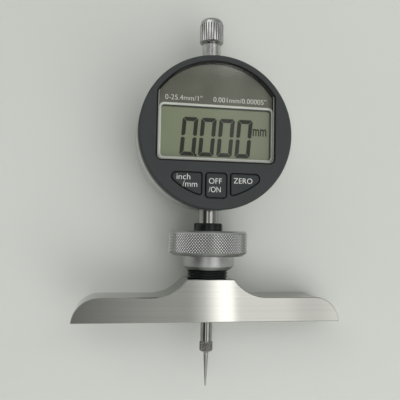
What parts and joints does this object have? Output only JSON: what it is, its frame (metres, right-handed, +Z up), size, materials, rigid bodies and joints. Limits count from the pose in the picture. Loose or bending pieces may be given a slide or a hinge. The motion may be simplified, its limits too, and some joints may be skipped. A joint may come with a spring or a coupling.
{
  "type": "dial depth gauge",
  "caption": "Digital depth gauge: a round indicator head with a spring plunger, held by its stem in the collet clamp of a flat-faced depth base",
  "frame": {"origin": "centre of the bounding box's foot: the surface on which the gauge lies, under the middle of its length", "axes": "+Y up the stem to the lifting knob, +Z up from the surface that the gauge lies on, its display turned up and rolled 8.25 degrees, +X to the right seen from above with the knob away"},
  "size_m": [0.1026, 0.1426, 0.0331],
  "materials": {
    "ground_steel": "ground",
    "blackened_steel": "black oxide, satin",
    "satin_steel": "knurled, satin",
    "graphite_shell": "fine matte",
    "button_grey": "fine matte",
    "cast_aluminium": "satin",
    "black_rubber": "matte",
    "bright_steel": "polished",
    "dark_steel": "dark, fine",
    "clear_window": "clear",
    "olive_print": "printed, satin",
    "display_glass": "grey-green",
    "white_frame": "moulded",
    "board_green": "solder mask",
    "black_resin": "smooth drop",
    "bronze": "turned",
    "coin_cell": "nickel"
  },
  "bodies": {
    "base": {"base_bar": "ground_steel", "clamp_sleeve": "blackened_steel"},
    "clamp_nut": {"clamp_nut": "satin_steel"},
    "head": {"front_bezel": "graphite_shell", "bezel_gasket": "black_rubber", "rear_case": "cast_aluminium", "back_cover": "cast_aluminium", "back_cover_screws": "blackened_steel", "battery": "coin_cell", "battery_side_clip": "bright_steel", "battery_top_contact": "bright_steel", "window_lens": "clear_window", "face_mask": "olive_print", "lcd_glass": "display_glass", "lcd_frame": "white_frame", "zebra_strip": "black_rubber", "circuit_board": "board_green", "board_screws": "bright_steel", "processor": "black_resin", "keypad": "black_rubber", "sensor_board": "board_green", "stem": "bright_steel", "lower_bush": "bronze", "upper_bushing": "bright_steel", "stop_washer": "black_rubber", "guide_rail": "white_frame", "return_spring": "bright_steel"},
    "plunger": {"spindle": "bright_steel", "contact_point": "dark_steel", "lifting_knob": "satin_steel", "scale_carrier": "white_frame", "scale_strip": "board_green", "guide_pin": "bright_steel"},
    "inch_mm_button": {"inch_mm_button": "button_grey"},
    "on_off_button": {"on_off_button": "button_grey"},
    "zero_button": {"zero_button": "button_grey"},
    "battery_cap": {"battery_cap": "graphite_shell"}
  },
  "joints": [
    {"name": "head_swivel", "type": "hinge", "parent": "base", "child": "head", "pos_m": [0, -0.0092, 0.0152], "axis": [0, 1, 0], "continuous": true},
    {"name": "clamp_nut_turn", "type": "hinge", "parent": "base", "child": "clamp_nut", "pos_m": [0, -0.0162, 0.0152], "axis": [0, 1, 0], "range_deg": [0, 180]},
    {"name": "plunger_slide", "type": "slide", "parent": "head", "child": "plunger", "axis": [0, 1, 0], "range_m": [0, 0.0254], "stiffness_N_per_m": 20, "springref_m": -0.04, "deforming": ["return_spring"]},
    {"name": "inch_mm_press", "type": "slide", "parent": "head", "child": "inch_mm_button", "axis": [-0.1435, 0, -0.9896], "range_m": [0, 0.0005], "stiffness_N_per_m": 1000, "springref_m": -0.001},
    {"name": "on_off_press", "type": "slide", "parent": "head", "child": "on_off_button", "axis": [-0.1435, 0, -0.9896], "range_m": [0, 0.0005], "stiffness_N_per_m": 1000, "springref_m": -0.001},
    {"name": "zero_press", "type": "slide", "parent": "head", "child": "zero_button", "axis": [-0.1435, 0, -0.9896], "range_m": [0, 0.0005], "stiffness_N_per_m": 1000, "springref_m": -0.001},
    {"name": "battery_cap_turn", "type": "hinge", "parent": "head", "child": "battery_cap", "pos_m": [0.01137, 0.02415, 0.00648], "axis": [-0.1435, 0, -0.9896], "range_deg": [0, 60]}
  ]
}
